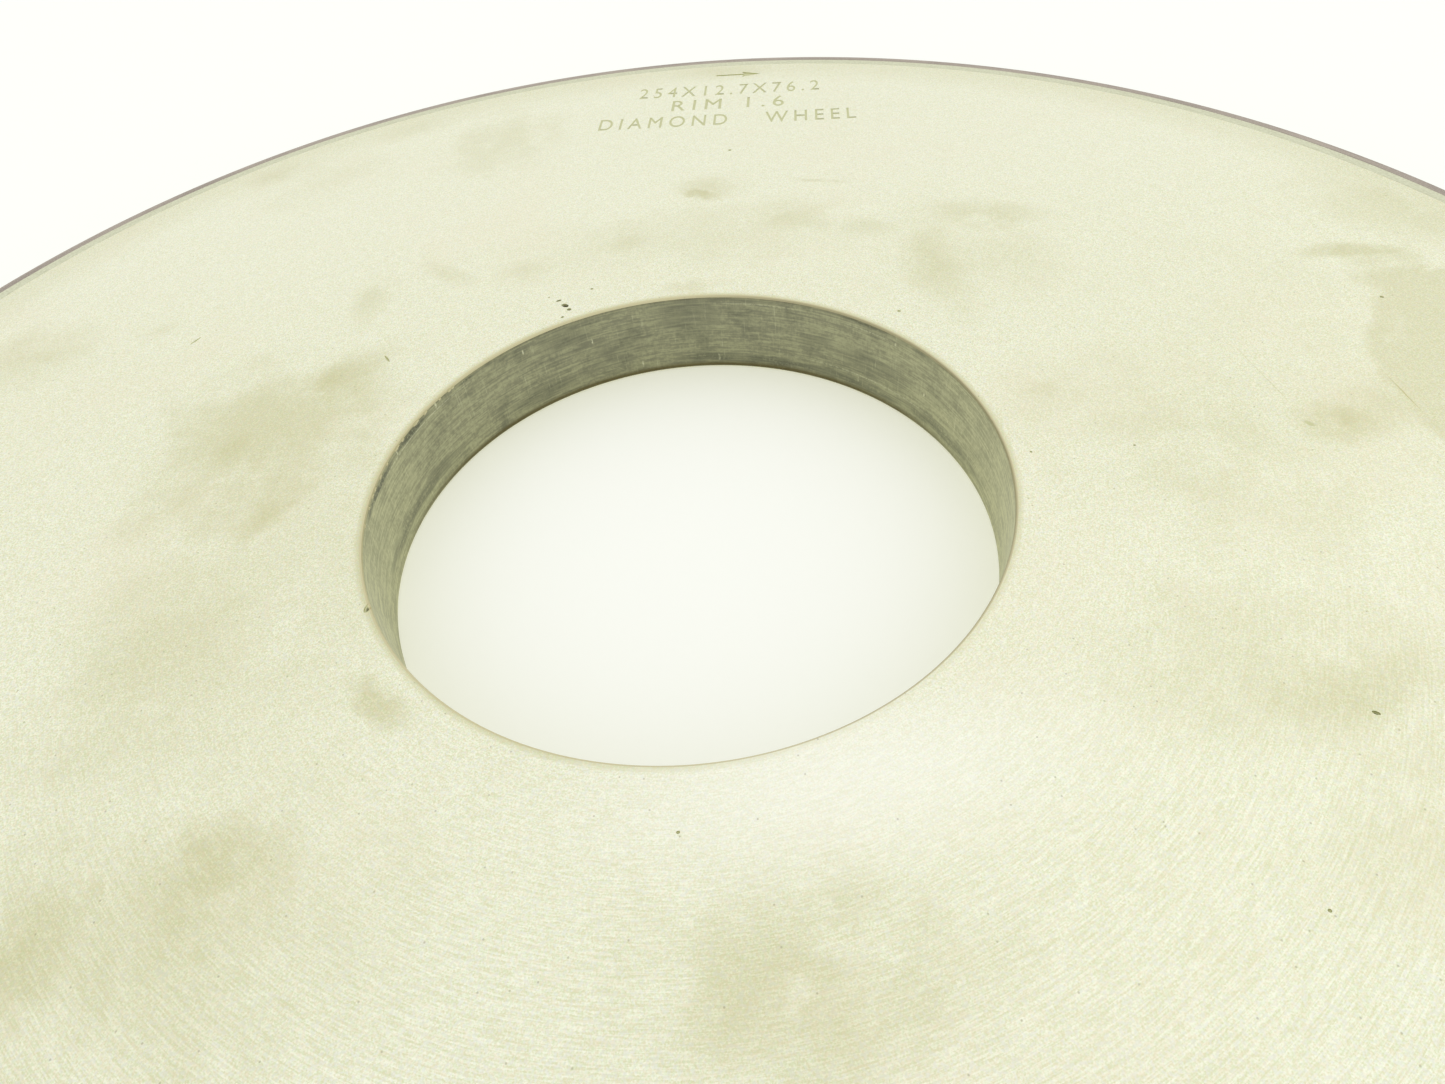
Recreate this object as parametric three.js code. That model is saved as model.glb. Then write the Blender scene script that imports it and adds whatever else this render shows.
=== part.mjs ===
// A straight diamond grinding wheel, shape 1A1: a flat metal core with a plain bore, and a thin resin-bond
// diamond rim moulded round its edge on a backing ring that holds no diamond.
// The wheel lies on its back face. +Z is its axis, and the origin is the bore's centre in that face.
// Millimetres.
import * as THREE from "three";

const INCH = 25.4;

// Driving dimensions, each free to change by itself.
const WHEEL_DIAMETER = 10 * INCH;
const WHEEL_THICKNESS = INCH / 2;
const BORE_DIAMETER = 3 * INCH;
const DIAMOND_DEPTH = INCH / 16; // how far the diamond reaches in from the grinding face
const BACKING_DEPTH = 1.8; // the bond without diamond, behind the rim
const BOND_FILM = 0.1; // adhesive between one ring and the next
const BORE_CHAMFER = 0.3; // broken edge at both ends of the bore
const GROOVE_COUNT = 3; // keying grooves turned round the core, which the backing ring is moulded into
const GROOVE_DEPTH = 0.6;
const GROOVE_PITCH = 3.2;

const ROUND_STEPS = 120; // facets in one turn, the same on every ring so that their faces stay parallel

// Radii that follow from the driving dimensions, from the grinding face inwards.
const GRINDING_RADIUS = WHEEL_DIAMETER / 2;
const RIM_SEAT_RADIUS = GRINDING_RADIUS - DIAMOND_DEPTH;
const BACKING_OUTER_RADIUS = RIM_SEAT_RADIUS - BOND_FILM;
const BACKING_SEAT_RADIUS = RIM_SEAT_RADIUS - BACKING_DEPTH;
const CORE_RADIUS = BACKING_SEAT_RADIUS - BOND_FILM;
const BORE_RADIUS = BORE_DIAMETER / 2;

const corner = (radius, height) => new THREE.Vector2(radius, height);

// The keyed edge of a ring from the back face to the front one: a straight wall at the given radius, with the
// V grooves spaced evenly about mid-thickness and cut in towards the axis.
function keyedWall(radius) {
  const points = [corner(radius, 0)];
  for (let i = 0; i < GROOVE_COUNT; i++) {
    const middle = WHEEL_THICKNESS / 2 + (i - (GROOVE_COUNT - 1) / 2) * GROOVE_PITCH;
    points.push(corner(radius, middle - GROOVE_DEPTH));
    points.push(corner(radius - GROOVE_DEPTH, middle));
    points.push(corner(radius, middle + GROOVE_DEPTH));
  }
  points.push(corner(radius, WHEEL_THICKNESS));
  return points;
}

// Turns a closed outline of (radius, height) corners about +Z. The outline runs up its outer wall.
function turned(outline) {
  const closed = [...outline, outline[0]];
  return new THREE.LatheGeometry(closed, ROUND_STEPS).rotateX(Math.PI / 2);
}

// The core: a disc of aluminium, faced on both sides and bored to fit a grinder's wheel mount.
function core() {
  const outline = [
    ...keyedWall(CORE_RADIUS),
    corner(BORE_RADIUS + BORE_CHAMFER, WHEEL_THICKNESS),
    corner(BORE_RADIUS, WHEEL_THICKNESS - BORE_CHAMFER),
    corner(BORE_RADIUS, BORE_CHAMFER),
    corner(BORE_RADIUS + BORE_CHAMFER, 0),
  ];
  const metal = new THREE.MeshStandardMaterial({ color: 0xe7e8cc, roughness: 0.45, metalness: 1 });
  return new THREE.Mesh(turned(outline), metal);
}

// The backing ring: metal-filled resin, moulded into the core's grooves, that carries the rim and lets the
// whole depth of diamond be used before the core is reached.
function backingRing() {
  const outline = [
    corner(BACKING_OUTER_RADIUS, 0),
    corner(BACKING_OUTER_RADIUS, WHEEL_THICKNESS),
    ...keyedWall(BACKING_SEAT_RADIUS).reverse(),
  ];
  const filledResin = new THREE.MeshStandardMaterial({ color: 0xdbdcbf, roughness: 0.6, metalness: 0.2 });
  return new THREE.Mesh(turned(outline), filledResin);
}

// The diamond rim: diamond grit in resin, the only piece that cuts.
function diamondRim() {
  const outline = [
    corner(GRINDING_RADIUS, 0),
    corner(GRINDING_RADIUS, WHEEL_THICKNESS),
    corner(RIM_SEAT_RADIUS, WHEEL_THICKNESS),
    corner(RIM_SEAT_RADIUS, 0),
  ];
  const gritInResin = new THREE.MeshStandardMaterial({ color: 0xb0a59e, roughness: 0.85, metalness: 0 });
  return new THREE.Mesh(turned(outline), gritInResin);
}

const wheel = new THREE.Group();
const pieces = { core, backing_ring: backingRing, diamond_rim: diamondRim };
for (const [name, make] of Object.entries(pieces)) {
  const mesh = make();
  mesh.name = name;
  wheel.add(mesh);
}

export default wheel;
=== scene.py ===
"""A straight diamond grinding wheel lying on a pale floor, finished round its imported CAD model.
Metres, +Z up along the wheel's axis. The origin is the bore's centre, in the back face on the floor."""
import math
import random

import bmesh
import bpy
from mathutils import Matrix, Vector


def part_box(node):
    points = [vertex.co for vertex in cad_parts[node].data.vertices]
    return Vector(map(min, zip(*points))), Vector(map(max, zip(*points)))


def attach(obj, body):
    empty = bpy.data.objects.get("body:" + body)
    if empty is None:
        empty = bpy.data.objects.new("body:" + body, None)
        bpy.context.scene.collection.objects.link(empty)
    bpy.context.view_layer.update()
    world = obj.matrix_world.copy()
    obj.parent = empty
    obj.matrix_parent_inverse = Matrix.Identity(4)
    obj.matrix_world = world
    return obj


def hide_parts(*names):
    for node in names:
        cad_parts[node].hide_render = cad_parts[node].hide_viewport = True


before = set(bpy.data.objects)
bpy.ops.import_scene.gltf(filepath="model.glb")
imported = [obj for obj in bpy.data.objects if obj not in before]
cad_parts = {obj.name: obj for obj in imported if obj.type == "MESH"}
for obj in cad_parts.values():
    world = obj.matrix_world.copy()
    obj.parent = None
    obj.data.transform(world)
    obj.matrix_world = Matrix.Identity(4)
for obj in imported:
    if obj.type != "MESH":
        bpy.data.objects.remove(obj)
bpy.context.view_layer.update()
MM = 0.001

# ---------------------------------------------------------------------------------------------------------
# Camera: close over the near part of the wheel with a wide lens, looking down past the bore to the far edge,
# and leaning a little to the right.
CAMERA_PLACE = Vector((0, -80.27, 88.19)) * MM
CAMERA_PAN = math.radians(2.592)  # to the right of straight ahead
CAMERA_TILT = math.radians(47.61)  # below the horizon
CAMERA_LEAN = math.radians(-6.149)  # negative leans to the right
CAMERA_LENS = 22.94  # millimetres
SENSOR_WIDTH = 36  # millimetres

bpy.ops.object.camera_add()
camera = bpy.context.object
camera.data.sensor_width = SENSOR_WIDTH
camera.data.lens = CAMERA_LENS
camera.data.clip_start = 5 * MM
camera.matrix_world = (
    Matrix.Translation(CAMERA_PLACE)
    @ Matrix.Rotation(-CAMERA_PAN, 4, "Z")
    @ Matrix.Rotation(math.pi / 2 - CAMERA_TILT, 4, "X")
    @ Matrix.Rotation(CAMERA_LEAN, 4, "Z")
)
bpy.context.scene.camera = camera

# ---------------------------------------------------------------------------------------------------------
# Core: one disc of aluminium, faced on both sides and bored in a lathe. Both ends of the bore have a broken
# edge with two fine tool lines beside it, and three V grooves round the outside key the bond moulded on.
CORE_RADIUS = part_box("core")[1].x
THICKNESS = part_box("core")[1].z
BORE_RADIUS = 38.1 * MM
BORE_CHAMFER = 0.3 * MM
LIP_LINES = (38.52 * MM, 38.85 * MM)  # distances from the axis
LINE_WIDTH = 0.12 * MM
LINE_DEPTH = 0.02 * MM
KEY_COUNT = 3
KEY_DEPTH = 0.6 * MM
TURN_STEPS = 480
SMOOTH_ANGLE = math.radians(30)  # a sharper edge than this stays crisp
WELD = 0.001 * MM  # points closer than this are one point
NEAR = 0.01 * MM  # how far off a point may lie and still count as on a wall or a face
JOINT_CHAMFER = 0.06 * MM  # the broken corners that leave a fine V in the faces at each joint


def ring_section(name, inner, outer):
    """Starts a ring: adds its cross-section as an upright rectangle at +X, and opens it for editing."""
    bpy.ops.object.select_all(action="DESELECT")
    middle = ((inner + outer) / 2, 0, THICKNESS / 2)
    bpy.ops.mesh.primitive_plane_add(size=1, location=middle, rotation=(math.pi / 2, 0, 0))
    ring = bpy.context.object
    ring.name = name
    ring.scale = (outer - inner, THICKNESS, 1)
    bpy.ops.object.transform_apply(location=True, rotation=True, scale=True)
    bpy.ops.object.mode_set(mode="EDIT")
    return ring


def pick(piece, wanted):
    """Selects the vertices of the piece being edited whose place is wanted, and nothing else."""
    bpy.ops.mesh.select_mode(type="VERT")
    bpy.ops.mesh.select_all(action="DESELECT")
    skin = bmesh.from_edit_mesh(piece.data)
    for vertex in skin.verts:
        vertex.select = wanted(vertex.co)
    skin.select_flush_mode()
    bmesh.update_edit_mesh(piece.data)


def near(value, target):
    return abs(value - target) < NEAR


def round_corners(ring, radius, size, segments=1):
    """Breaks the section's two corners at this radius."""
    pick(ring, lambda place: near(place.x, radius) and not WELD < place.z < THICKNESS - WELD)
    bpy.ops.mesh.bevel(offset=size, segments=segments, affect="VERTICES")


def cut_keys(ring, radius):
    """Bends the wall at this radius in towards the axis, in V shapes evenly spaced over the thickness."""
    pick(ring, lambda place: near(place.x, radius))
    bpy.ops.mesh.subdivide(number_cuts=KEY_COUNT)
    pick(ring, lambda place: near(place.x, radius) and WELD < place.z < THICKNESS - WELD)
    bpy.ops.mesh.bevel(offset=KEY_DEPTH, segments=2, affect="VERTICES")
    pitch = THICKNESS / (KEY_COUNT + 1)
    middles = [pitch * (i + 1) for i in range(KEY_COUNT)]
    pick(ring, lambda place: near(place.x, radius) and any(near(place.z, middle) for middle in middles))
    bpy.ops.transform.translate(value=(-KEY_DEPTH, 0, 0))


def score_lip(ring, height, inwards):
    """Scores fine V lines round the bore in the face at this height. Inwards is 1, or -1 for the front."""
    pick(ring, lambda place: near(place.z, height))
    bpy.ops.mesh.subdivide(number_cuts=len(LIP_LINES))
    step = (CORE_RADIUS - BORE_RADIUS) / (len(LIP_LINES) + 1)
    for i, line in enumerate(LIP_LINES):
        even = BORE_RADIUS + step * (i + 1)
        pick(ring, lambda place: near(place.x, even) and near(place.z, height))
        bpy.ops.transform.translate(value=(line - even, 0, 0))
        bpy.ops.mesh.bevel(offset=LINE_WIDTH / 2, segments=2, affect="VERTICES")
        pick(ring, lambda place: near(place.x, line) and near(place.z, height))
        bpy.ops.transform.translate(value=(0, 0, inwards * LINE_DEPTH))


def turn():
    """Turns the section being edited once about the axis, and closes it into one skin."""
    bpy.ops.mesh.select_all(action="SELECT")
    bpy.ops.mesh.delete(type="ONLY_FACE")
    bpy.ops.mesh.select_all(action="SELECT")
    bpy.ops.mesh.spin(steps=TURN_STEPS, angle=2 * math.pi, center=(0, 0, 0), axis=(0, 0, 1))
    bpy.ops.mesh.select_all(action="SELECT")
    bpy.ops.mesh.remove_doubles(threshold=WELD)
    bpy.ops.mesh.normals_make_consistent(inside=False)
    bpy.ops.object.mode_set(mode="OBJECT")


core = ring_section("turned_core", BORE_RADIUS, CORE_RADIUS)
score_lip(core, THICKNESS, -1)
score_lip(core, 0, 1)
cut_keys(core, CORE_RADIUS)
round_corners(core, BORE_RADIUS, BORE_CHAMFER, segments=2)
round_corners(core, CORE_RADIUS, JOINT_CHAMFER)
turn()

# The marking is engraved in four lines on the front face, close to the rim, with letters that stand upright
# towards it: an arrow for the way the wheel turns, the wheel's size in millimetres, the depth of its diamond,
# and what it is. A V cutter made it, so each stroke is narrower at the bottom.
MARK_TURN = math.radians(-10.1)  # clockwise from +Y
LETTER_HEIGHT = 4.7 * MM
LETTER_SPACING = 1.45
CAPITAL_SHARE = 0.7  # the height of a capital, as a share of the font's size
STROKE_DEPTH = 0.13 * MM
STROKE_SPREAD = 0.07 * MM  # how much bolder than the font each side of a stroke is
MARKED_LINES = (  # words, distance from the axis, width
    ("254X12.7X76.2", 111.2, 36),
    ("RIM 1.6", 104.7, 22),
    ("DIAMOND   WHEEL", 97.6, 49),
)
ARROW_RADIUS = 118.6 * MM
ARROW_LENGTH = 9.5 * MM
ARROW_STROKE = 0.5 * MM
SHAFT_SHARE = 0.6  # of the arrow's length
BARB_SPREAD = 5  # the width of the head, in strokes
CUTTER_RISE = 0.1 * MM  # how far a flat cutter stands out of the face that it cuts


def letters(words, radius, width):
    """Adds one line of letters as a cutter, sunk in the front face at this distance from the axis."""
    bpy.ops.object.select_all(action="DESELECT")
    bpy.ops.object.text_add()
    line = bpy.context.object
    line.data.body = words
    line.data.align_x = "CENTER"
    line.data.align_y = "CENTER"
    line.data.size = LETTER_HEIGHT / CAPITAL_SHARE
    line.data.space_character = LETTER_SPACING
    line.data.resolution_u = 5
    line.data.offset = STROKE_SPREAD - STROKE_DEPTH
    line.data.bevel_depth = STROKE_DEPTH
    line.data.bevel_resolution = 0
    bpy.ops.object.convert(target="MESH")
    line.data.transform(Matrix.Diagonal((width / line.dimensions.x, 1, 1, 1)))
    line.data.transform(Matrix.Rotation(MARK_TURN, 4, "Z") @ Matrix.Translation((0, radius, THICKNESS)))
    return line


def arrow():
    """Adds the arrow as a cutter: a shaft whose right end is drawn out into a barb and a point."""
    bpy.ops.object.select_all(action="DESELECT")
    start = (0, ARROW_RADIUS, THICKNESS + CUTTER_RISE)
    bpy.ops.mesh.primitive_plane_add(size=1, location=start)
    shape = bpy.context.object
    shape.scale = (ARROW_LENGTH * SHAFT_SHARE, ARROW_STROKE, 1)
    bpy.ops.object.transform_apply(location=True, rotation=True, scale=True)
    bpy.ops.object.mode_set(mode="EDIT")
    pick(shape, lambda place: place.x > 0)
    bpy.ops.mesh.extrude_region_move(TRANSFORM_OT_translate={"value": (-ARROW_STROKE, 0, 0)})
    bpy.ops.transform.resize(value=(1, BARB_SPREAD, 1), center_override=start)
    tip = (ARROW_LENGTH * (1 - SHAFT_SHARE), 0, 0)
    bpy.ops.mesh.extrude_region_move(TRANSFORM_OT_translate={"value": tip})
    bpy.ops.mesh.merge(type="CENTER")
    bpy.ops.mesh.select_all(action="SELECT")
    down = (0, 0, -CUTTER_RISE - STROKE_DEPTH)
    bpy.ops.mesh.extrude_region_move(TRANSFORM_OT_translate={"value": down})
    bpy.ops.object.mode_set(mode="OBJECT")
    shape.data.transform(Matrix.Rotation(MARK_TURN, 4, "Z"))
    return shape


# Handling has left small dents: a cluster of pits beside the bore, a few nicks and pin-holes further out,
# and a row of knocks on the bore's edge where the wheel has been pushed on to its mount.
NICKS = (  # x, y, length, width and depth in millimetres, and the turn in degrees
    (-14.0, 39.9, 1.3, 0.8, 0.5, -40),
    (-14.9, 41.4, 0.9, 0.4, 0.4, 20),
    (-13.4, 38.7, 0.7, 0.6, 0.4, 0),
    (-14.4, 36.95, 0.5, 0.4, 0.3, 60),
    (-9.9, 43.4, 0.5, 0.4, 0.3, 0),
    (-16.4, 42.7, 0.3, 0.3, 0.2, 0),
    (-39.4, 32.4, 2.0, 0.28, 0.2, -62),
    (-69.2, 43.6, 2.3, 0.3, 0.2, 55),
    (16.3, 83.2, 0.6, 0.6, 0.3, 0),
    (58.4, -43.1, 0.75, 0.4, 0.3, -35),
    (44.9, -58.8, 0.35, 0.3, 0.2, 0),
    (33.0, 27.3, 0.5, 0.5, 0.25, 0),
    (73.5, -5.8, 1.5, 0.8, 0.1, -60),
    (95.8, 15.8, 0.5, 0.5, 0.3, 0),
    (40.7, -4.1, 0.35, 0.3, 0.2, 0),
    (52.6, -5.4, 0.3, 0.3, 0.2, 0),
    (-4.9, -44.4, 0.35, 0.3, 0.2, 0),
    (-35.9, -13.6, 1.6, 0.7, 0.3, 70),
)
KNOCK_COUNT = 13
KNOCK_ARC = (-92, -48)  # degrees clockwise from +Y
KNOCK_LENGTHS = (0.5, 1.6)  # millimetres
KNOCK_WIDTH = 0.26 * MM


def nick(place, length, width, depth, turned):
    """Adds a small faceted pebble as a cutter, half sunk at this place and turned about the vertical."""
    bpy.ops.object.select_all(action="DESELECT")
    bpy.ops.mesh.primitive_ico_sphere_add(subdivisions=2, radius=1, location=place, rotation=(0, 0, turned))
    pebble = bpy.context.object
    pebble.scale = (length / 2, width / 2, depth)
    bpy.ops.object.transform_apply(location=True, rotation=True, scale=True)
    return pebble


def cut(piece, cutters):
    """Joins the cutters into one and takes it out of the piece."""
    bpy.ops.object.select_all(action="DESELECT")
    for cutter in cutters:
        cutter.select_set(True)
    bpy.context.view_layer.objects.active = cutters[0]
    bpy.ops.object.join()
    tool = bpy.context.object
    bpy.ops.object.mode_set(mode="EDIT")
    bpy.ops.mesh.select_all(action="SELECT")
    bpy.ops.mesh.remove_doubles(threshold=WELD)
    bpy.ops.mesh.normals_make_consistent(inside=False)
    bpy.ops.object.mode_set(mode="OBJECT")
    bpy.context.view_layer.objects.active = piece
    bite = piece.modifiers.new("cut", "BOOLEAN")
    bite.operation = "DIFFERENCE"
    bite.solver = "EXACT"
    bite.use_self = True
    bite.object = tool
    bpy.ops.object.modifier_apply(modifier=bite.name)
    bpy.data.objects.remove(tool)


def around(radius, degrees, height):
    """A place at this distance from the axis, degrees clockwise from +Y."""
    angle = math.radians(degrees)
    return Vector((radius * math.sin(angle), radius * math.cos(angle), height))


cutters = [letters(words, radius * MM, width * MM) for words, radius, width in MARKED_LINES]
cutters.append(arrow())
for x, y, length, width, depth, degrees in NICKS:
    place = Vector((x * MM, y * MM, THICKNESS))
    cutters.append(nick(place, length * MM, width * MM, depth * MM, math.radians(degrees)))
knocks = random.Random(7)
low, high = KNOCK_ARC
for i in range(KNOCK_COUNT):
    degrees = low + (high - low) * (i + knocks.random()) / KNOCK_COUNT
    place = around(BORE_RADIUS, degrees, THICKNESS - BORE_CHAMFER)
    length = knocks.uniform(*KNOCK_LENGTHS) * MM
    cutters.append(nick(place, length, KNOCK_WIDTH, KNOCK_WIDTH, math.radians(-degrees)))
cut(core, cutters)
bpy.ops.object.shade_smooth_by_angle(angle=SMOOTH_ANGLE)


# The faces are bright turned metal gone a little yellow, with a fine grain. Streaks follow the tool round the
# axis, plainest on one side of the bore, and handling and old coolant have left soft brown stains.
def colour(code):
    """A colour from its usual six hexadecimal digits, as the linear values that a shader takes."""
    parts = [int(code[i : i + 2], 16) / 255 for i in (0, 2, 4)]
    return (*[part / 12.92 if part <= 0.04045 else ((part + 0.055) / 1.055) ** 2.4 for part in parts], 1)


def add(tree, kind, inputs=None, **settings):
    """Adds a shader node with these settings, and feeds its inputs from sockets or plain values."""
    made = tree.nodes.new("ShaderNode" + kind)
    for setting, value in settings.items():
        setattr(made, setting, value)
    for name, value in (inputs or {}).items():
        if isinstance(value, bpy.types.NodeSocket):
            tree.links.new(value, made.inputs[name])
        else:
            made.inputs[name].default_value = value
    return made


def calc(tree, operation, *values, clamp=False):
    return add(tree, "Math", dict(enumerate(values)), operation=operation, use_clamp=clamp).outputs[0]


def blend(tree, amount, low, high, kind="MIX"):
    """Goes from one colour to another. A Mix node takes colours as inputs 6 and 7, and gives output 2."""
    return add(tree, "Mix", {0: amount, 6: low, 7: high}, data_type="RGBA", blend_type=kind).outputs[2]


def tint(tree, base, mask, strength, shade, kind="MIX"):
    """Lays a shade over the base colour where the mask is, at this strength."""
    return blend(tree, calc(tree, "MULTIPLY", mask, strength), base, shade, kind)


def fade(tree, value, start, end):
    """0 at the start value, 1 at the end value, and a smooth rise between them."""
    reach = {"Value": value, "From Min": start, "From Max": end}
    return add(tree, "MapRange", reach, interpolation_type="SMOOTHSTEP").outputs[0]


def start_group(name, takes, gives):
    """Starts a shader group, and returns it with its input and output sockets."""
    group = bpy.data.node_groups.new(name, "ShaderNodeTree")
    for label, kind in takes.items():
        group.interface.new_socket(label, in_out="INPUT", socket_type="NodeSocket" + kind)
    for label in gives:
        group.interface.new_socket(label, in_out="OUTPUT", socket_type="NodeSocketFloat")
    return group, group.nodes.new("NodeGroupInput").outputs, group.nodes.new("NodeGroupOutput").inputs


def use_group(tree, group, **inputs):
    return add(tree, "Group", inputs, node_tree=group).outputs


def start_material(name):
    """Starts a material, and returns it with its tree, its shader and the place on the piece."""
    material = bpy.data.materials.new(name)
    material.use_nodes = True
    tree = material.node_tree
    place = add(tree, "TexCoord").outputs["Object"]
    return material, tree, tree.nodes["Principled BSDF"].inputs, place


# Tool marks: noise drawn out round the axis. Across is in marks per metre, Round in marks per radian.
tool_marks, takes, gives = start_group(
    "Tool marks", {"Place": "Vector", "Across": "Float", "Round": "Float"}, ["Marks"]
)
flat = add(tool_marks, "VectorMath", {0: takes["Place"], 1: (1, 1, 0)}, operation="MULTIPLY").outputs[0]
radius = add(tool_marks, "VectorMath", {0: flat}, operation="LENGTH").outputs["Value"]
outward = add(tool_marks, "VectorMath", {0: flat}, operation="NORMALIZE").outputs[0]
turned = add(tool_marks, "VectorMath", {0: outward, "Scale": takes["Round"]}, operation="SCALE").outputs[0]
height = add(tool_marks, "SeparateXYZ", {0: takes["Place"]}).outputs["Z"]
depth = calc(tool_marks, "MULTIPLY", calc(tool_marks, "ADD", radius, height), takes["Across"])
rise = add(tool_marks, "CombineXYZ", {"Z": depth}).outputs[0]
spread = add(tool_marks, "VectorMath", {0: turned, 1: rise}, operation="ADD").outputs[0]
noise = add(tool_marks, "TexNoise", {"Vector": spread, "Scale": 1, "Detail": 2, "Roughness": 0.6})
tool_marks.links.new(noise.outputs[0], gives["Marks"])

# Stain: a soft oval. Length and Width are half its own, in metres like its centre, Turn is in radians, and
# Ragged is the noise that its outline follows, in shares of Width.
stain, takes, gives = start_group(
    "Stain",
    {
        **dict.fromkeys(("Place", "Centre", "Ragged"), "Vector"),
        **dict.fromkeys(("Length", "Width", "Turn", "Edge"), "Float"),
    },
    ["Mask"],
)
shift = add(stain, "VectorMath", {0: takes["Ragged"], "Scale": takes["Width"]}, operation="SCALE").outputs[0]
moved = add(stain, "VectorMath", {0: takes["Place"], 1: takes["Centre"]}, operation="SUBTRACT").outputs[0]
moved = add(stain, "VectorMath", {0: moved, 1: shift}, operation="ADD").outputs[0]
level = add(
    stain, "VectorRotate", {"Vector": moved, "Angle": calc(stain, "MULTIPLY", takes["Turn"], -1)},
    rotation_type="Z_AXIS",
).outputs[0]
sides = add(stain, "SeparateXYZ", {0: level}).outputs
along = calc(stain, "DIVIDE", sides["X"], takes["Length"])
across = calc(stain, "DIVIDE", sides["Y"], takes["Width"])
squares = [calc(stain, "POWER", side, 2) for side in (along, across)]
reach = calc(stain, "SQRT", calc(stain, "ADD", *squares))
inner = calc(stain, "SUBTRACT", 1, takes["Edge"])
oval = add(
    stain, "MapRange", {"Value": reach, "From Min": 1, "From Max": inner}, interpolation_type="SMOOTHSTEP"
).outputs[0]
stain.links.new(oval, gives["Mask"])


def ragged(tree, place, scale, reach):
    """Noise for a stain's outline, with this many waves per metre, up to about this share of its width."""
    waves = {"Vector": place, "Scale": scale, "Detail": 5, "Roughness": 0.6}
    noise = add(tree, "TexNoise", waves).outputs["Color"]
    even = add(tree, "VectorMath", {0: noise, 1: (0.5, 0.5, 0.5)}, operation="SUBTRACT").outputs[0]
    return add(tree, "VectorMath", {0: even, "Scale": 2 * reach}, operation="SCALE").outputs[0]


METAL_LIGHT = colour("FAFBE8")
METAL_DARK = colour("DDDFB8")
METAL_WARM = colour("EEE3C8")
METAL_GREEN = colour("E4F0D2")
METAL_COOL = colour("E8EAE2")
METAL_HIGHLIGHT_AND_CLEAN = colour("FFFFF6")
LIP_TAN = colour("CFC69F")
STAIN_TINT = colour("C7C183")  # a stain darkens the grain and lets it show
SPECK_AND_SHADE_COLOUR = colour("8C8466")
LETTER_DIRT = colour("CECFA3")
PIT_DIRT = colour("35301F")
FACE_GRAIN = 6500  # waves per metre
HUE_GRAIN = 3400
STREAKS_FROM = -10 * MM  # along Y, where the tool's streaks begin to get plainer
STREAKS_FULL = -50 * MM  # and where they are plainest
CLEANER_FROM = 35 * MM  # along Y too, where the face begins to get cleaner
CLEANER_FULL = 75 * MM
RIM_BAND = 11 * MM  # the width of the darker band beside the backing ring
LIP_BAND = 1.15 * MM  # the width of the dirty band round the bore
SPECK_BAND = 1.6 * MM  # the width of the band where specks lie thick
SPECK_CELLS = 420  # per metre, each with room for one speck
BARE_CELLS = 0.86  # the share of them without a speck, away from the bore
BACK_STAIN_TURN = math.radians(130)
BACK_STAIN_LOSS = 0.4  # how much weaker the stains on the back are
SMALL_STAIN = 3  # millimetres: a narrower stain has a finer outline
SHARP_EDGE = 0.5  # the tide mark of dried coolant has a sharp edge and an even outline
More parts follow.
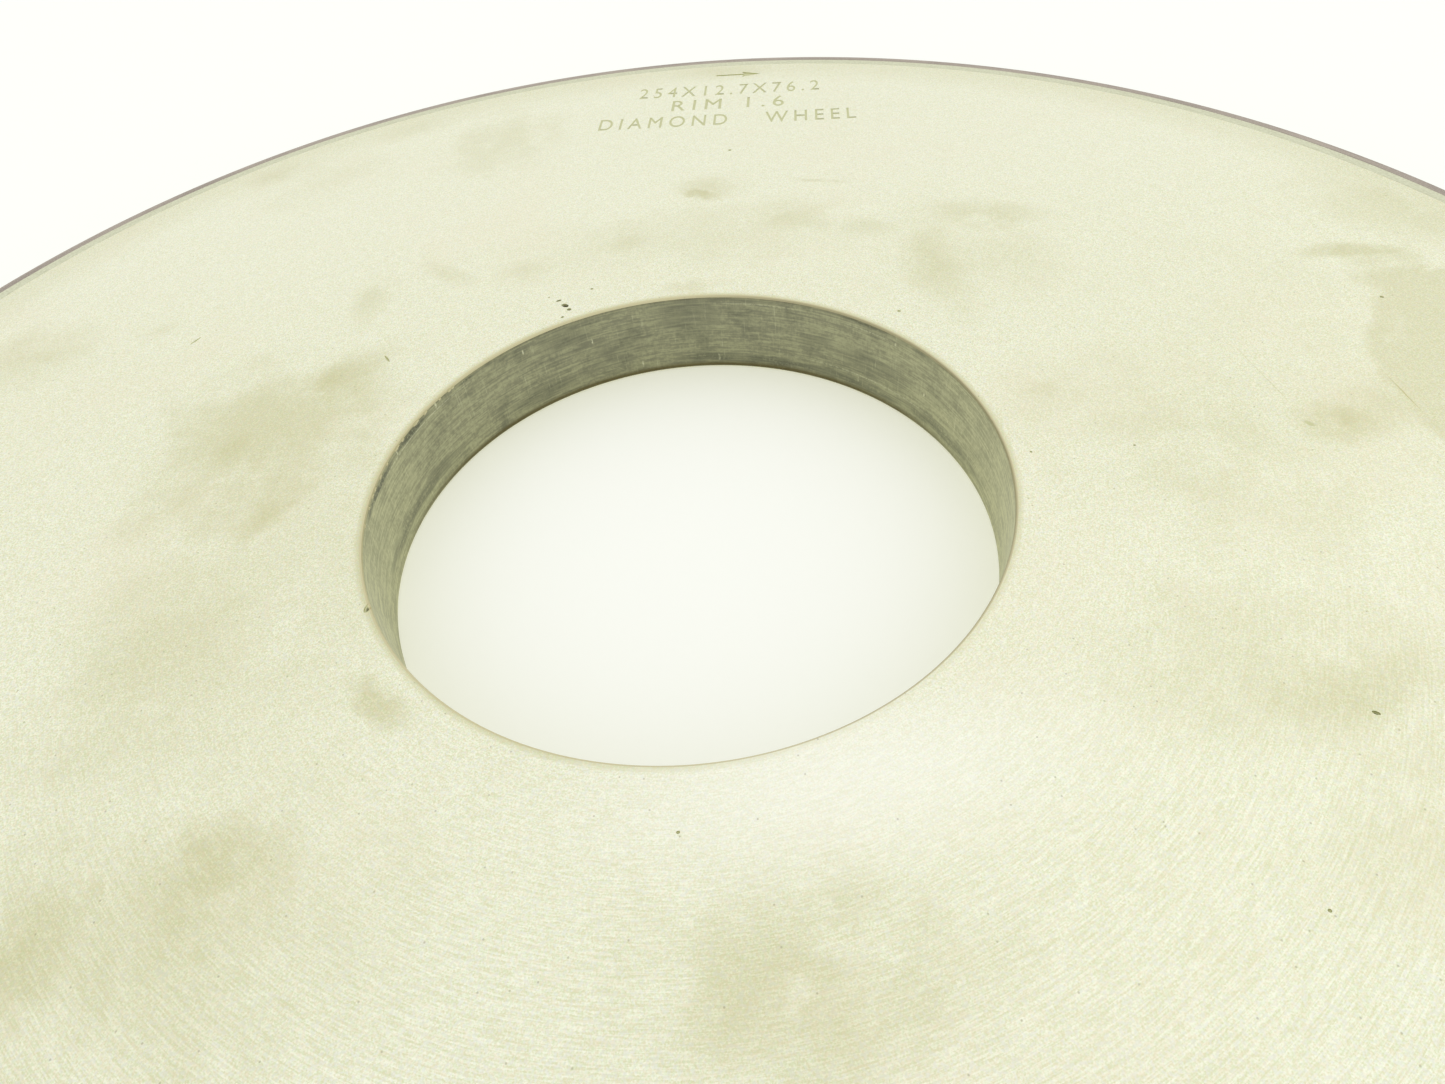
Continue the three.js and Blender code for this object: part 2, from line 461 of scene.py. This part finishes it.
FACE_STAINS = (  # x, y, half-length and half-width in millimetres, turn in degrees, edge, strength
    (-53, 17, 24, 20, 80, 0.8, 0.36),
    (-57, 16, 12, 8, 80, 1, 0.46),
    (-45, 28, 12, 8, 50, 1, 0.5),
    (-50, 4, 9, 7, 70, 1, 0.44),
    (-57, -16, 28, 17, 85, 1, 0.28),
    (-48, -12, 58, 26, 84, 1, 0.16),
    (-33.5, -26, 7, 2.9, -45, 0.9, 0.4),
    (-46, -42, 14, 9, 10, 1, 0.44),
    (-60, -46, 14, 10, -70, 1, 0.42),
    (-50, -47, 30, 19, -10, 1, 0.28),
    (-59, -59, 16, 9, -30, 1, 0.26),
    (-43.5, 49, 10, 4.5, 85, 1, 0.24),
    (-32.5, 53, 8, 3.5, -50, 1, 0.24),
    (-20, 51, 8, 6, 0, 1, 0.2),
    (-4, 55, 8, 5, 10, 1, 0.28),
    (6, 55, 40, 13, -3, 0.9, 0.14),
    (22, 57, 14, 9, -15, 1, 0.28),
    (34, 51, 8, 5, -20, 1, 0.22),
    (42, 38, 19, 8, 88, 1, 0.3),
    (52, 49.5, 13, 7, -12, 1, 0.32),
    (48, 40, 22, 17, -60, 1, 0.16),
    (9.4, 68.5, 5.5, 2.8, -35, 0.9, 0.55),
    (11, 70.5, 9, 6, -10, 1, 0.3),
    (30, 67.5, 7, 0.9, -22, 0.9, 0.3),
    (-25, 99, 17, 14, 60, 0.8, 0.22),
    (-19, 104, 15, 5, -56, 1, 0.28),
    (-42, 110, 14, 5, 22, 1, 0.18),
    (-68, 96, 8, 6, 30, 1, 0.24),
    (-58, 92, 20, 12, 30, 1, 0.14),
    (-94, 46, 12, 11, 0, 1, 0.24),
    (-76, 48, 5, 3.5, 0, 1, 0.16),
    (72.9, 3.9, 10.4, 0.16, -86, 0.9, 0.4),
    (86.8, -3.1, 6.2, 0.17, -91, 0.9, 0.8),
    (86, 2, 48, 42, 0, 1, 0.1),
    (48, 6, 8, 5, 0, 1, 0.22),
    (60, -6, 30, 24, -60, 1, 0.2),
    (77.5, -6.5, 9, 7, 0, 1, 0.46),
    (84, -4, 13, 9, 20, 1, 0.28),
    (112, -5, 27, 28, 90, 0.08, 0.3),
    (101, 18, 12, 7.5, 90, 0.5, 0.3),
    (98.5, 27, 11, 3.2, -14, 0.8, 0.4),
    (110, 36, 22, 14, -60, 1, 0.22),
    (58, -54, 20, 12, 20, 1, 0.16),
    (57, -40, 17, 9, 5, 1, 0.34),
    (54, -37, 26, 15, -15, 1, 0.22),
    (4, -58, 22, 13, 0, 1, 0.34),
    (5, 40.5, 7, 2.5, 0, 0.9, 0.2),
    (20, 119, 14, 5, -10, 1, 0.2),
    (38, -98, 22, 13, 20, 1, 0.28),
    (-72, -82, 20, 13, -45, 1, 0.3),
    (88, -64, 15, 9, 40, 1, 0.24),
    (-14, -109, 18, 8, 5, 1, 0.22),
    (-108, -18, 15, 9, 85, 1, 0.22),
)


def stained(tree, place, stains):
    """How stained the surface is, from 0 to 1: the deepest of the stains there."""
    broad = ragged(tree, place, 110, 0.7)
    fine = ragged(tree, place, 450, 0.8)
    calm = ragged(tree, place, 160, 0.08)
    deepest = 0
    for x, y, length, width, degrees, edge, strength in stains:
        centre = (x * MM, y * MM, THICKNESS)
        outline = calm if edge < SHARP_EDGE else broad if width > SMALL_STAIN else fine
        size = {"Length": length * MM, "Width": width * MM, "Turn": math.radians(degrees), "Edge": edge}
        mask = use_group(tree, stain, Place=place, Centre=centre, Ragged=outline, **size)["Mask"]
        deepest = calc(tree, "MAXIMUM", deepest, calc(tree, "MULTIPLY", mask, strength))
    return deepest


face_metal, tree, shader, place = start_material("turned_face_metal")
sides = add(tree, "SeparateXYZ", {0: place}).outputs
streaks = use_group(tree, tool_marks, Place=place, Across=6800, Round=26)["Marks"]
streaks = add(tree, "MapRange", {"Value": streaks, "To Min": 0.15, "To Max": 0.85}).outputs[0]
tinge = use_group(tree, tool_marks, Place=place, Across=5000, Round=18)["Marks"]
scores = use_group(tree, tool_marks, Place=place, Across=3600, Round=7)["Marks"]
grain = add(tree, "TexNoise", {"Vector": place, "Scale": FACE_GRAIN, "Detail": 2}).outputs[0]
clouds = add(tree, "TexNoise", {"Vector": place, "Scale": 40, "Detail": 6, "Roughness": 0.65}).outputs[0]
share = {"Value": sides["Y"], "From Min": STREAKS_FROM, "From Max": STREAKS_FULL}
share = add(tree, "MapRange", {**share, "To Min": 0.12, "To Max": 0.55}).outputs[0]
drawn = calc(tree, "MULTIPLY", share, calc(tree, "SUBTRACT", streaks, grain))
mottle = calc(tree, "ADD", grain, drawn)
metal = blend(tree, fade(tree, mottle, 0.38, 0.62), METAL_DARK, METAL_LIGHT)
hues = add(tree, "TexNoise", {"Vector": place, "Scale": HUE_GRAIN, "Detail": 1}).outputs["Color"]
hues = add(tree, "SeparateColor", {0: hues}).outputs
metal = tint(tree, metal, fade(tree, hues["Red"], 0.5, 0.35), 0.35, METAL_GREEN)
metal = tint(tree, metal, fade(tree, hues["Red"], 0.5, 0.65), 0.35, METAL_WARM)
metal = tint(tree, metal, fade(tree, hues["Blue"], 0.5, 0.65), 0.5, METAL_COOL)
metal = tint(tree, metal, fade(tree, tinge, 0.5, 0.7), 0.3, METAL_WARM)
metal = tint(tree, metal, fade(tree, clouds, 0.48, 0.7), 0.15, METAL_WARM)
# Painted highlights: the finest tool scores are drawn as thin light arcs.
score_highlights = fade(tree, calc(tree, "ABSOLUTE", calc(tree, "SUBTRACT", scores, 0.5)), 0.02, 0.005)
score_highlights = calc(tree, "MULTIPLY", score_highlights, fade(tree, tinge, 0.5, 0.6))
metal = tint(tree, metal, score_highlights, 0.35, METAL_LIGHT)

# The back face is stained in the same way, but less and in other places.
behind = calc(tree, "LESS_THAN", sides["Z"], THICKNESS / 2)
elsewhere = {"Vector": place, "Angle": calc(tree, "MULTIPLY", behind, BACK_STAIN_TURN)}
elsewhere = add(tree, "VectorRotate", elsewhere, rotation_type="Z_AXIS").outputs[0]
patchy = add(tree, "TexNoise", {"Vector": place, "Scale": 120, "Detail": 4, "Roughness": 0.6}).outputs[0]
blotch = calc(tree, "MULTIPLY", stained(tree, elsewhere, FACE_STAINS), fade(tree, patchy, 0.2, 0.55))
blotch = calc(tree, "MULTIPLY", blotch, fade(tree, mottle, 0.15, 0.5))
blotch = calc(tree, "MULTIPLY", blotch, calc(tree, "MULTIPLY_ADD", behind, -BACK_STAIN_LOSS, 1))
metal = blend(tree, blotch, metal, STAIN_TINT, "MULTIPLY")

# A painted highlight brightens the face on one side of the bore, and beyond the bore the face is a little
# cleaner. Towards the rim it is a little darker.
rub_marks_and_highlight = {"Centre": (10 * MM, -41 * MM, 0), "Length": 34 * MM, "Width": 13 * MM, "Edge": 1}
rub_marks_and_highlight = use_group(tree, stain, Place=place, Ragged=(0, 0, 0), **rub_marks_and_highlight)["Mask"]
metal = tint(tree, metal, rub_marks_and_highlight, 0.45, METAL_HIGHLIGHT_AND_CLEAN)
cleaner = fade(tree, sides["Y"], CLEANER_FROM, CLEANER_FULL)
metal = tint(tree, metal, cleaner, 0.08, METAL_HIGHLIGHT_AND_CLEAN)
flat = add(tree, "VectorMath", {0: place, 1: (1, 1, 0)}, operation="MULTIPLY").outputs[0]
radius = add(tree, "VectorMath", {0: flat}, operation="LENGTH").outputs["Value"]
by_rim = fade(tree, radius, CORE_RADIUS - RIM_BAND, CORE_RADIUS)
metal = tint(tree, metal, by_rim, 0.16, STAIN_TINT, "MULTIPLY")

# Specks of dirt lie all over the face, and more of them round the bore.
cells = add(tree, "TexVoronoi", {"Vector": flat, "Scale": SPECK_CELLS}, voronoi_dimensions="2D").outputs
chance = add(tree, "SeparateColor", {0: cells["Color"]}).outputs[0]
few = calc(tree, "GREATER_THAN", chance, BARE_CELLS)
by_bore = calc(tree, "LESS_THAN", radius, BORE_RADIUS + SPECK_BAND)
many = calc(tree, "MULTIPLY", by_bore, fade(tree, chance, 0.3, 0.6))
specks = calc(tree, "MAXIMUM", few, many)
specks = calc(tree, "MULTIPLY", fade(tree, cells["Distance"], 0.055, 0.02), specks)
metal = tint(tree, metal, specks, 0.4, SPECK_AND_SHADE_COLOUR)

# Dirt has gathered in a narrow band round the bore, weaker on one side under the painted highlight. The
# broken edge has a tan film, and on one side its inner half is darkened with painted shade.
lip_dirt = fade(tree, radius, BORE_RADIUS + LIP_BAND, BORE_RADIUS + 0.2 * MM)
lip_dirt = calc(tree, "MULTIPLY", lip_dirt, fade(tree, grain, 0.2, 0.55))
under_highlight = {"Centre": (15 * MM, -34 * MM, 0), "Length": 38 * MM, "Width": 32 * MM, "Edge": 1}
under_highlight = use_group(tree, stain, Place=place, Ragged=(0, 0, 0), **under_highlight)["Mask"]
lip_dirt = calc(tree, "MULTIPLY", lip_dirt, calc(tree, "MULTIPLY_ADD", under_highlight, -0.7, 1))
metal = tint(tree, metal, lip_dirt, 0.44, STAIN_TINT, "MULTIPLY")
on_lip = fade(tree, radius, BORE_RADIUS + BORE_CHAMFER + 0.02 * MM, BORE_RADIUS + BORE_CHAMFER - 0.05 * MM)
metal = tint(tree, metal, on_lip, 0.7, LIP_TAN)
# Painted shade on the inner half of the broken edge, on one side, in the specks' colour.
lip_shade = fade(tree, radius, BORE_RADIUS + BORE_CHAMFER, BORE_RADIUS + 0.05 * MM)
lip_shade = calc(tree, "MULTIPLY", lip_shade, fade(tree, sides["X"], 0, 20 * MM))
metal = tint(tree, metal, lip_shade, 0.5, SPECK_AND_SHADE_COLOUR)

# The deeper a mark goes below the front face, the darker the dirt in it.
below = calc(tree, "SUBTRACT", THICKNESS, sides["Z"])
below = calc(tree, "MULTIPLY", below, calc(tree, "SUBTRACT", 1, calc(tree, "MAXIMUM", on_lip, behind)))
metal = blend(tree, fade(tree, below, 0.01 * MM, 0.1 * MM), metal, LETTER_DIRT)
metal = blend(tree, fade(tree, below, 0.14 * MM, 0.35 * MM), metal, PIT_DIRT)
tree.links.new(metal, shader["Base Color"])
shader["Metallic"].default_value = 1
roughness = {"Value": mottle, "From Min": 0.3, "From Max": 0.7, "To Min": 0.38, "To Max": 0.55}
rough = add(tree, "MapRange", roughness)
tree.links.new(rough.outputs[0], shader["Roughness"])
bump = add(tree, "Bump", {"Strength": 0.25, "Distance": 0.01 * MM, "Height": mottle})
tree.links.new(bump.outputs[0], shader["Normal"])
core.data.materials.append(face_metal)

# The bore's wall has worn and gone dark on the grinder's mount: grey-olive, drawn round by the boring tool,
# with black smears from rubbing, light scratches, old dry oil along its top edge, and painted shade along
# its foot.
# The shaded copy of the wall's colours is painted shade about +Y; the pale copy lies further round.
SHADED_WALL_LIGHT = colour("ADAD8E")
SHADED_WALL_DARK = colour("8B8B76")
PALE_LIGHT = colour("D0D0AB")
PALE_DARK = colour("ADAD8E")
WALL_SMEAR = colour("55584E")
WALL_SCRATCH = colour("E6E6C8")
WALL_OIL_AND_SHADE = colour("5E5432")
WALL_SMEARS = (  # degrees clockwise from +Y, height in mm, half-length in degrees, half-height, strength
    (-81, 11.85, 13, 0.65, 0.8),
    (-65, 11.8, 11, 0.7, 0.8),
    (-47, 11.9, 4, 0.4, 0.7),
    (-72, 2.9, 26, 1.5, 0.5),
    (-62, 3.3, 14, 1.2, 0.4),
    (-30, 3.0, 13, 2.2, 0.45),
    (-22, 9.8, 10, 3.2, 0.4),
    (-12, 5.5, 9, 4.5, 0.25),
    (5, 9.5, 11, 4.5, 0.35),
    (12, 12.0, 26, 0.5, 0.35),
    (10, 1.9, 12, 1.3, 0.6),
    (26, 1.5, 18, 1, 0.6),
    (45, 1.8, 20, 1.3, 0.55),
    (72, 2.1, 22, 1.4, 0.5),
    (50, 5.6, 16, 2.8, 0.4),
    (35, 6.6, 7, 1.8, 0.35),
    (47, 12.1, 10, 0.5, 0.65),
    (62, 12.1, 5, 0.4, 0.4),
)
WALL_LINES = (  # light scratches, in the same columns: four round the wall, and short ones up it
    (-64, 11.35, 26, 0.14, 0.5),
    (50, 3.1, 30, 0.12, 0.4),
    (22, 11.4, 14, 0.1, 0.4),
    (49, 11.2, 9, 0.12, 0.3),
    (-56.5, 12.1, 0.3, 0.7, 0.9),
    (-71, 11.9, 0.25, 0.6, 0.8),
    (-90, 11.5, 0.3, 0.9, 0.7),
    (-32.5, 10.9, 0.25, 0.6, 0.8),
    (-16.5, 8.1, 0.25, 0.8, 0.7),
    (-6, 1.9, 0.3, 0.8, 0.6),
    (12, 1.7, 0.3, 0.9, 0.5),
    (64, 5.9, 0.3, 0.4, 0.8),
    (55, 11.0, 0.3, 0.5, 0.5),
    (46, 2.3, 0.3, 0.7, 0.5),
    (72, 4.8, 0.2, 0.4, 0.5),
)


def wall_marks(tree, unrolled, marks, outline):
    """How strongly these marks show on the bore's wall, laid out flat as arc length and height."""
    strongest = 0
    for degrees, height, half_arc, half_height, strength in marks:
        centre = (math.radians(degrees) * BORE_RADIUS, height * MM, 0)
        size = {"Length": math.radians(half_arc) * BORE_RADIUS, "Width": half_height * MM, "Edge": 0.8}
        mask = use_group(tree, stain, Place=unrolled, Centre=centre, Ragged=outline, **size)["Mask"]
        strongest = calc(tree, "MAXIMUM", strongest, calc(tree, "MULTIPLY", mask, strength))
    return strongest


bore_metal, tree, shader, place = start_material("worn_bore_metal")
sides = add(tree, "SeparateXYZ", {0: place}).outputs
arc = calc(tree, "MULTIPLY", calc(tree, "ARCTAN2", sides["X"], sides["Y"]), BORE_RADIUS)
unrolled = add(tree, "CombineXYZ", {"X": arc, "Y": sides["Z"]}).outputs[0]
boring = use_group(tree, tool_marks, Place=place, Across=3500, Round=7)["Marks"]
rub_marks_and_highlight = use_group(tree, tool_marks, Place=place, Across=900, Round=14)["Marks"]
hatch = use_group(tree, tool_marks, Place=place, Across=220, Round=170)["Marks"]
grain = add(tree, "TexNoise", {"Vector": place, "Scale": 2300, "Detail": 4, "Roughness": 0.6}).outputs[0]
blots = add(tree, "TexNoise", {"Vector": place, "Scale": 230, "Detail": 5, "Roughness": 0.65}).outputs[0]
tone = calc(tree, "ADD", calc(tree, "MULTIPLY", boring, 0.4), calc(tree, "MULTIPLY", rub_marks_and_highlight, 0.24))
tone = calc(tree, "ADD", tone, calc(tree, "MULTIPLY", grain, 0.28))
tone = calc(tree, "ADD", tone, calc(tree, "MULTIPLY", hatch, 0.08))
mix = fade(tree, tone, 0.4, 0.6)

# Painted shade: the wall is darkest about +Y, in a shaded copy of its colours, and paler further round
# from there. The worn patches and the painted shade along its foot are strongest there too.
out_of_painted_shade = fade(tree, calc(tree, "ABSOLUTE", arc), 0.3 * BORE_RADIUS, 2 * BORE_RADIUS)
wall = blend(tree, out_of_painted_shade, blend(tree, mix, SHADED_WALL_DARK, SHADED_WALL_LIGHT), blend(tree, mix, PALE_DARK, PALE_LIGHT))
drawn = add(tree, "VectorMath", {0: unrolled, 1: (0.35, 1, 1)}, operation="MULTIPLY").outputs[0]
outline = ragged(tree, drawn, 600, 1.1)
smears = wall_marks(tree, unrolled, WALL_SMEARS, outline)
smears = calc(tree, "MULTIPLY", smears, fade(tree, grain, 0.3, 0.55))
worn = calc(tree, "MULTIPLY", fade(tree, blots, 0.47, 0.7), 0.35)
worn = calc(tree, "MAXIMUM", worn, calc(tree, "MULTIPLY", fade(tree, rub_marks_and_highlight, 0.52, 0.72), 0.35))
smears = calc(tree, "MAXIMUM", smears, calc(tree, "MULTIPLY", worn, fade(tree, out_of_painted_shade, 1.3, 0.1)))
wall = blend(tree, smears, wall, WALL_SMEAR)
scratches = wall_marks(tree, unrolled, WALL_LINES, ragged(tree, unrolled, 900, 0.4))
scratches = calc(tree, "MULTIPLY", scratches, fade(tree, grain, 0.35, 0.55))
scratches = calc(tree, "MAXIMUM", scratches, calc(tree, "MULTIPLY", fade(tree, hatch, 0.66, 0.76), 0.3))
wall = blend(tree, scratches, wall, WALL_SCRATCH)
# Painted shade darkens the wall's foot, most about +Y, and old dry oil darkens it just under the top edge.
foot_shade_and_top_oil = calc(tree, "MULTIPLY", fade(tree, sides["Z"], 1.3 * MM, 0.4 * MM), fade(tree, out_of_painted_shade, 0.9, 0.2))
top_oil = fade(tree, sides["Z"], THICKNESS - BORE_CHAMFER - 0.4 * MM, THICKNESS - BORE_CHAMFER)
foot_shade_and_top_oil = calc(tree, "MAXIMUM", foot_shade_and_top_oil, calc(tree, "MULTIPLY", top_oil, 0.35))
wall = tint(tree, wall, foot_shade_and_top_oil, 0.8, WALL_OIL_AND_SHADE)
tree.links.new(wall, shader["Base Color"])
shader["Metallic"].default_value = 1
shader["Roughness"].default_value = 0.5
bump = add(tree, "Bump", {"Strength": 0.4, "Distance": 0.01 * MM, "Height": tone})
tree.links.new(bump.outputs[0], shader["Normal"])
core.data.materials.append(bore_metal)

# The wall takes this metal, and so does the broken edge at the back, which the same dirt covers.
bpy.ops.object.mode_set(mode="EDIT")
bpy.ops.mesh.select_mode(type="FACE")
bpy.ops.mesh.select_all(action="DESELECT")
skin = bmesh.from_edit_mesh(core.data)
for face in skin.faces:
    middle = face.calc_center_median()
    edge = BORE_CHAMFER if middle.z < THICKNESS / 2 else 2 * NEAR
    face.select = middle.xy.length < BORE_RADIUS + edge
bmesh.update_edit_mesh(core.data)
core.active_material_index = 1
bpy.ops.object.material_slot_assign()
bpy.ops.object.mode_set(mode="OBJECT")

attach(core, "root")
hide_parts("core")

# ---------------------------------------------------------------------------------------------------------
# Backing ring: bond without diamond, filled with metal powder. It is moulded round the core, so it fills the
# core's grooves, and it was faced together with the core and the rim.
DIAMOND_DEPTH = 1.5875 * MM
RIM_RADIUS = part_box("diamond_rim")[1].x
BOND_FILM = 0.04 * MM
BACKING_INNER = CORE_RADIUS + BOND_FILM
BACKING_OUTER = RIM_RADIUS - DIAMOND_DEPTH - BOND_FILM

backing = ring_section("moulded_backing_ring", BACKING_INNER, BACKING_OUTER)
cut_keys(backing, BACKING_INNER)
round_corners(backing, BACKING_INNER, JOINT_CHAMFER)
round_corners(backing, BACKING_OUTER, JOINT_CHAMFER)
turn()
bpy.ops.object.shade_smooth_by_angle(angle=SMOOTH_ANGLE)

RESIN_LIGHT = colour("DDDFC4")
RESIN_DARK = colour("CBCCAE")

filled_resin, tree, shader, place = start_material("filled_resin")
streaks = use_group(tree, tool_marks, Place=place, Across=4500, Round=50)["Marks"]
grain = add(tree, "TexNoise", {"Vector": place, "Scale": 2600, "Detail": 2}).outputs[0]
mottle = calc(tree, "ADD", calc(tree, "MULTIPLY", streaks, 0.4), calc(tree, "MULTIPLY", grain, 0.6))
resin = blend(tree, fade(tree, mottle, 0.35, 0.65), RESIN_DARK, RESIN_LIGHT)
tree.links.new(resin, shader["Base Color"])
shader["Metallic"].default_value = 0.6
shader["Roughness"].default_value = 0.55
bump = add(tree, "Bump", {"Strength": 0.4, "Distance": 0.01 * MM, "Height": mottle})
tree.links.new(bump.outputs[0], shader["Normal"])
backing.data.materials.append(filled_resin)

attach(backing, "root")
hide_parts("backing_ring")

# ---------------------------------------------------------------------------------------------------------
# Diamond rim: fine diamond grit in dark resin, hot-pressed on to the backing ring and trued on its edge. It
# is the only piece that cuts, and its outer corners have worn slightly round.
RIM_ROUND = 0.3 * MM

rim = ring_section("diamond_grit_rim", RIM_RADIUS - DIAMOND_DEPTH, RIM_RADIUS)
round_corners(rim, RIM_RADIUS - DIAMOND_DEPTH, JOINT_CHAMFER)
round_corners(rim, RIM_RADIUS, RIM_ROUND, segments=4)
turn()
bpy.ops.object.shade_smooth_by_angle(angle=SMOOTH_ANGLE)

BOND_LIGHT = colour("AEA294")
BOND_DARK = colour("978C80")
GRIT_COLOUR = colour("D9D4C4")

diamond_bond, tree, shader, place = start_material("diamond_bond")
cells = add(tree, "TexVoronoi", {"Vector": place, "Scale": 5000})
glints = calc(tree, "MULTIPLY", fade(tree, cells.outputs["Distance"], 0.35, 0.2), 0.5)
trued = use_group(tree, tool_marks, Place=place, Across=2600, Round=3)["Marks"]
patches = add(tree, "TexNoise", {"Vector": place, "Scale": 90, "Detail": 5, "Roughness": 0.65}).outputs[0]
tone = calc(tree, "ADD", calc(tree, "MULTIPLY", trued, 0.55), calc(tree, "MULTIPLY", patches, 0.45))
bond = blend(tree, fade(tree, tone, 0.36, 0.64), BOND_DARK, BOND_LIGHT)
bond = blend(tree, glints, bond, GRIT_COLOUR)
tree.links.new(bond, shader["Base Color"])
shader["Roughness"].default_value = 0.7
bump = add(tree, "Bump", {"Strength": 0.6, "Distance": 0.03 * MM, "Height": glints})
tree.links.new(bump.outputs[0], shader["Normal"])
rim.data.materials.append(diamond_bond)

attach(rim, "root")
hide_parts("diamond_rim")

# ---------------------------------------------------------------------------------------------------------
# Stage: plain white paper under the wheel, on a table that is lit a little from below. A white tent lights it
# all round, and one large soft light stands high on the right.
FLOOR_WIDTH = 4
PAPER_COLOUR = colour("C4C6D8")
PAPER_GLOW = colour("B0B08B")
LIGHT_RIGHT = 0.7
LIGHT_BEHIND = 0.15
LIGHT_HEIGHT = 0.7
LIGHT_WIDTH = 1.0
LIGHT_POWER = 0.3  # watts
LIGHT_COLOUR = (1, 1, 0.98)
TENT_GLOW = 0.995
FLOOR_GAP = 0.1 * MM  # keeps the paper clear of the wheel's back face

bpy.ops.object.select_all(action="DESELECT")
bpy.ops.mesh.primitive_plane_add(size=FLOOR_WIDTH, location=(0, 0, -FLOOR_GAP))
floor = bpy.context.object
floor.name = "floor"
paper, tree, shader, place = start_material("white_paper")
fibres = add(tree, "TexNoise", {"Vector": place, "Scale": 900, "Detail": 3}).outputs[0]
shader["Base Color"].default_value = PAPER_COLOUR
shader["Roughness"].default_value = 0.9
shader["Emission Color"].default_value = PAPER_GLOW
shader["Emission Strength"].default_value = 1
bump = add(tree, "Bump", {"Strength": 0.1, "Distance": 0.02 * MM, "Height": fibres})
tree.links.new(bump.outputs[0], shader["Normal"])
floor.data.materials.append(paper)

light_place = Vector((LIGHT_RIGHT, LIGHT_BEHIND, LIGHT_HEIGHT))
light_turn = light_place.to_track_quat("Z", "Y").to_euler()
bpy.ops.object.light_add(type="AREA", location=light_place, rotation=light_turn)
softbox = bpy.context.object
softbox.data.shape = "SQUARE"
softbox.data.size = LIGHT_WIDTH
softbox.data.energy = LIGHT_POWER
softbox.data.color = LIGHT_COLOUR

tent = bpy.data.worlds.new("white_tent")
tent.use_nodes = True
tent.node_tree.nodes["Background"].inputs["Color"].default_value = (1, 1, 1, 1)
tent.node_tree.nodes["Background"].inputs["Strength"].default_value = TENT_GLOW
bpy.context.scene.world = tent
bpy.context.scene.view_settings.view_transform = "Standard"
